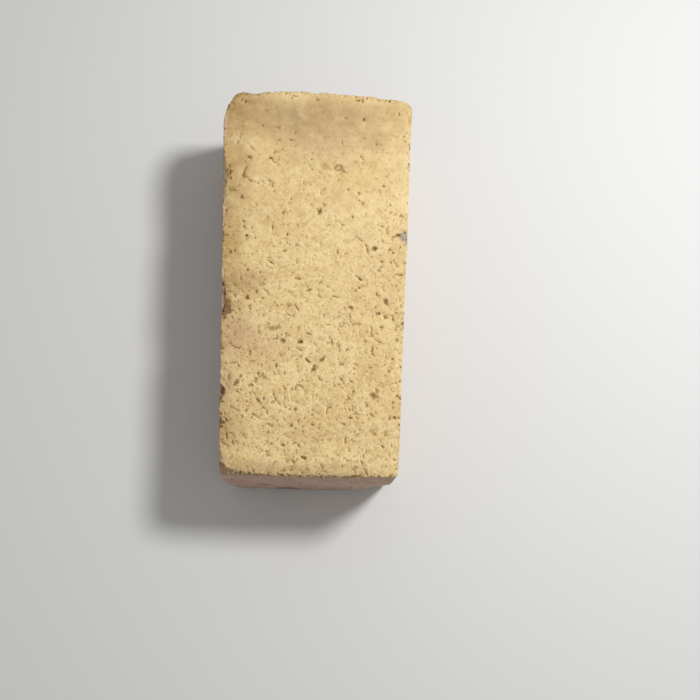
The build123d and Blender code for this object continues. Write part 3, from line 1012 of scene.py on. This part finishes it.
def fireclay():
    """Fired fireclay: pressed damp in a mould and burnt, never glazed, so it is matt and sandy.

    The grog in it shows as paler and browner grains, and its pores are painted darker than its skin, for the
    dust and the shade in them.
    """
    material = bpy.data.materials.new("fireclay_pressed_and_burnt")
    material.use_nodes = True
    tree = material.node_tree
    shader = tree.nodes["Principled BSDF"]
    add = partial(add_node, tree)
    times = {"operation": "MULTIPLY"}
    plus = {"operation": "ADD"}
    evenly = {"interpolation_type": "LINEAR"}
    smoothly = {"interpolation_type": "SMOOTHSTEP"}

    place = add("ShaderNodeTexCoord").outputs["Object"]
    millimetres = add("ShaderNodeVectorMath", {"operation": "SCALE"}, {0: place, "Scale": 1 / MM}).outputs[0]
    turned = add("ShaderNodeMapping", {}, {
        "Vector": millimetres, "Rotation": (0, 0, -SLIT_TURN), "Scale": SLIT_SHRINK,
    }).outputs[0]

    # The marks and pores that the mesh carries, the noises, and the grains
    patterns = {name: add("ShaderNodeAttribute", {"attribute_name": name}).outputs["Fac"]
                for name in ("pore", "open_grain", "burnt", *MARKS)}
    for name, (spacing, detail, roughness) in NOISES.items():
        patterns[name] = add("ShaderNodeTexNoise", {}, {
            "Vector": turned if name == "slits" else millimetres, "Scale": 1 / spacing,
            "Detail": detail, "Roughness": roughness,
        }).outputs["Fac"]
    grains = add("ShaderNodeTexVoronoi", {"feature": "F1"}, {
        "Vector": millimetres, "Scale": 1 / GRAIN_SPACING,
    })
    grain_dice = add("ShaderNodeSeparateColor", {}, {0: grains.outputs["Color"]})
    patterns["in_grain"] = grains.outputs["Distance"]
    patterns["pale_grain"] = grain_dice.outputs[0]
    patterns["brown_grain"] = grain_dice.outputs[1]
    for name in ("sandy", "dust_and_shade", "roughness"):
        patterns[name] = patterns["sand"]
    read = {}
    for readings, rising in ((READINGS, smoothly), (EVEN_READINGS, evenly)):
        for name, (start, full, least, most) in readings.items():
            read[name] = add("ShaderNodeMapRange", rising, {
                "Value": patterns[name], "From Min": start, "From Max": full,
                "To Min": least, "To Max": most,
            }).outputs["Result"]

    # Clay of slightly different burning, in patches of 26 mm, 12 mm, 6 mm and 3 mm
    coats = [
        (read["burning"], 1.0, linear("DFC38B")),
        (read["bleaching"], 1.0, linear("F3DDAA")),
        (read["browning"], 1.0, linear("D2B279")),
        (read["mottling"], 1.0, linear("C6A66C")),
    ]

    # Grog: some grains are pale, a few are brown
    pale_grain = add("ShaderNodeMath", times, {0: read["in_grain"], 1: read["pale_grain"]}).outputs[0]
    brown_grain = add("ShaderNodeMath", times, {0: read["in_grain"], 1: read["brown_grain"]}).outputs[0]
    coats += [(pale_grain, 0.3, linear("F6E4B6")), (brown_grain, 0.5, linear("9A7A4C"))]

    # The burnt skin is pinker and greyer, in patches of 17 mm and 5 mm
    skin = linear("C6A6A0")
    for share, over in ((read["skin_burning"], "B8978E"), (read["skin_bleaching"], "D0B4A6")):
        skin = add("ShaderNodeMix", {"data_type": "RGBA"}, {0: share, 6: skin, 7: linear(over)}).outputs[2]
    coats.append((patterns["burnt"], 1.0, skin))

    # Soft marks, clouded so that they have no outline of their own
    for name, hex_colour in SOFT_MARKS.items():
        coats.append((patterns[name], read["clouded"], linear(hex_colour)))

    # Marks with ragged edges, speckled at a millimetre
    for name, (strength, hex_colour) in RAGGED_MARKS.items():
        ragged = add("ShaderNodeMath", plus, {0: patterns[name], 1: read["frayed"]}).outputs[0]
        edge = add("ShaderNodeMapRange", smoothly, {"Value": ragged, "From Min": 0.3, "From Max": 0.72})
        share = add("ShaderNodeMath", times, {0: edge.outputs["Result"], 1: read["speckled"]}).outputs[0]
        coats.append((share, strength, linear(hex_colour)))

    # Sand of about half a millimetre
    coats.append((read["sandy"], 1.0, linear("CBAA70")))

    # Pinholes and slits of 0.5 to 1 mm are too small for the mesh, so their shade is painted in as a darker
    # colour
    deeper = {"operation": "MAXIMUM"}
    holes = add("ShaderNodeMath", deeper, {0: read["pinholes"], 1: read["slits"]}).outputs[0]
    holes = add("ShaderNodeMath", times, {0: holes, 1: read["open_grain"]}).outputs[0]
    coats.append((holes, 0.5, linear("9C7C49")))

    # The mesh's own pores hold dust and shadow
    dust_and_shade = add("ShaderNodeMath", plus, {0: patterns["pore"], 1: read["dust_and_shade"]}).outputs[0]
    in_pore = add("ShaderNodeMapRange", smoothly, {"Value": dust_and_shade, "From Min": 0.15, "From Max": 0.95})
    coats.append((in_pore.outputs["Result"], 0.78, linear("93753F")))

    # The coats lie over one another, each by its share times its strength
    colour = linear("EBD29B")
    for share, strength, over in coats:
        share = add("ShaderNodeMath", times, {0: share, 1: strength}).outputs[0]
        colour = add("ShaderNodeMix", {"data_type": "RGBA"}, {0: share, 6: colour, 7: over}).outputs[2]
    tree.links.new(colour, shader.inputs["Base Color"])

    # Dry unglazed clay is matt all over and scatters most of its shine
    tree.links.new(read["roughness"], shader.inputs["Roughness"])
    shader.inputs["Specular IOR Level"].default_value = 0.3

    # Relief too fine for the mesh: how far each pattern rises, in millimetres
    rises = [(patterns["sand"], 0.16), (patterns["grit"], 0.22), (holes, -0.35), (pale_grain, 0.08)]
    on_top = {"operation": "MULTIPLY_ADD"}
    height = 0.0
    for pattern, rise in rises:
        height = add("ShaderNodeMath", on_top, {0: pattern, 1: rise, 2: height}).outputs[0]
    bump = add("ShaderNodeBump", {}, {"Height": height, "Strength": 1.0, "Distance": MM})
    tree.links.new(bump.outputs["Normal"], shader.inputs["Normal"])
    return material


# The lamp: the way towards it, its distance and width in metres, and its power in watts
TOWARDS_LAMP = Vector((0.51, 0.23, 0.83)).normalized()
LAMP_DISTANCE = 0.9
LAMP_WIDTH = 0.2
LAMP_POWER = 6.3

# Strength of the white world, and width of the floor in metres
WORLD_STRENGTH = 0.36
FLOOR_WIDTH = 8

# The camera, fitted to the brick's outline: place, turn in degrees, film width and lens in mm
CAMERA_PLACE = Vector((-2.185, -175.03, 546.37)) * MM
CAMERA_TURN = (15.065, -2.989, 0.858)
FILM_WIDTH = 36
LENS = 46.286


def studio():
    """A plain pale floor, one soft lamp from the right and a little behind, and an even world."""
    scene = bpy.context.scene
    bpy.ops.object.select_all(action="DESELECT")
    bpy.ops.mesh.primitive_plane_add(size=FLOOR_WIDTH, location=(0, 0, 0))
    floor = bpy.context.object
    floor.name = "studio_floor"

    # Uncoated paper has no sheen, so that it shows the shadow and nothing else
    paper = bpy.data.materials.new("matt_paper")
    paper.use_nodes = True
    paper.node_tree.nodes["Principled BSDF"].inputs["Base Color"].default_value = linear("D9D9D7")
    paper.node_tree.nodes["Principled BSDF"].inputs["Roughness"].default_value = 0.9
    floor.data.materials.append(paper)
    bpy.ops.object.light_add(type="AREA", location=TOWARDS_LAMP * LAMP_DISTANCE)
    lamp = bpy.context.object
    lamp.name = "key_lamp"
    lamp.data.shape = "DISK"
    lamp.data.size = LAMP_WIDTH
    lamp.data.energy = LAMP_POWER
    lamp.rotation_euler = TOWARDS_LAMP.to_track_quat("Z", "Y").to_euler()
    world = bpy.data.worlds.new("studio")
    world.use_nodes = True
    world.node_tree.nodes["Background"].inputs["Color"].default_value = (1, 1, 1, 1)
    world.node_tree.nodes["Background"].inputs["Strength"].default_value = WORLD_STRENGTH
    scene.world = world
    scene.view_settings.view_transform = "Standard"
    turned = [math.radians(turn) for turn in CAMERA_TURN]
    bpy.ops.object.camera_add(location=CAMERA_PLACE, rotation=turned)
    camera = bpy.context.object
    camera.data.sensor_width = FILM_WIDTH
    camera.data.lens = LENS
    scene.camera = camera


brick = pressed_block()
for side, level, along, chip_length, depth in SIDE_CHIPS:
    arris = Vector((side * half_width(along * MM), along * MM, THICKNESS * (level > 0)))
    scoop(brick, arris, Vector((side, 0, level)), chip_length, depth)
for end, level, across, chip_length, depth in END_CHIPS:
    arris = Vector((across * MM, end_at(across * MM, end), THICKNESS * (level > 0)))
    scoop(brick, arris, Vector((0, end, level)), chip_length, depth)
apply_modifier(brick, "REMESH", mode="VOXEL", voxel_size=GRID, adaptivity=0.0)
work_clay(brick)
mark_faces(brick)
brick.data.materials.clear()
brick.data.materials.append(fireclay())
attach(brick, "root")
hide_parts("brick")

studio()
